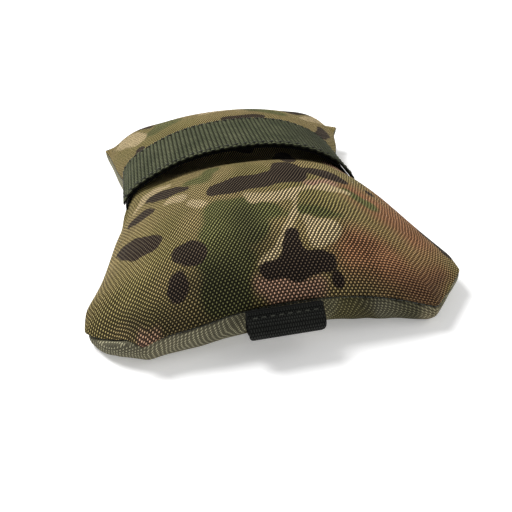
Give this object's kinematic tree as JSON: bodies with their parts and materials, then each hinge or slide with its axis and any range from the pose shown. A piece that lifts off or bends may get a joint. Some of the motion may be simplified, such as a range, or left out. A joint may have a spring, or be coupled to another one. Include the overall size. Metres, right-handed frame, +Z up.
{
  "type": "training bumper",
  "caption": "Stuffed fabric training bumper with a webbing hand strap across it and a webbing pull loop at one end.",
  "frame": {"origin": "on the floor under the middle of the bag", "axes": "+X across the width to the right, +Y along the length away from the pull loop, +Z up"},
  "size_m": [0.1612, 0.2202, 0.0497],
  "materials": {
    "camo_fabric": "coarse plain-weave nylon, camouflage print",
    "base_fabric": "coarse plain-weave nylon, pale grey-green print",
    "filling_fibre": "loose fibre",
    "thread": "twisted nylon thread",
    "olive_webbing": "ribbed nylon webbing",
    "dark_webbing": "ribbed nylon webbing"
  },
  "bodies": {
    "bag": {"top_panel": "camo_fabric", "bottom_panel": "base_fabric", "filling": "filling_fibre", "seam_thread": "thread", "strap_tack_left": "thread", "strap_tack_right": "thread"},
    "strap": {"hand_strap": "olive_webbing", "hand_strap_lining": "dark_webbing", "strap_stitching": "thread"},
    "loop": {"pull_loop": "dark_webbing", "pull_loop_stitching": "thread"}
  },
  "joints": [
    {"name": "strap_lift", "type": "slide", "parent": "bag", "child": "strap", "axis": [0, 0, 1], "range_m": [0, 0.01]},
    {"name": "loop_swing", "type": "hinge", "parent": "bag", "child": "loop", "pos_m": [-0.005, -0.1048, 0.0196], "axis": [-1, 0, 0], "range_deg": [-15, 105]}
  ]
}
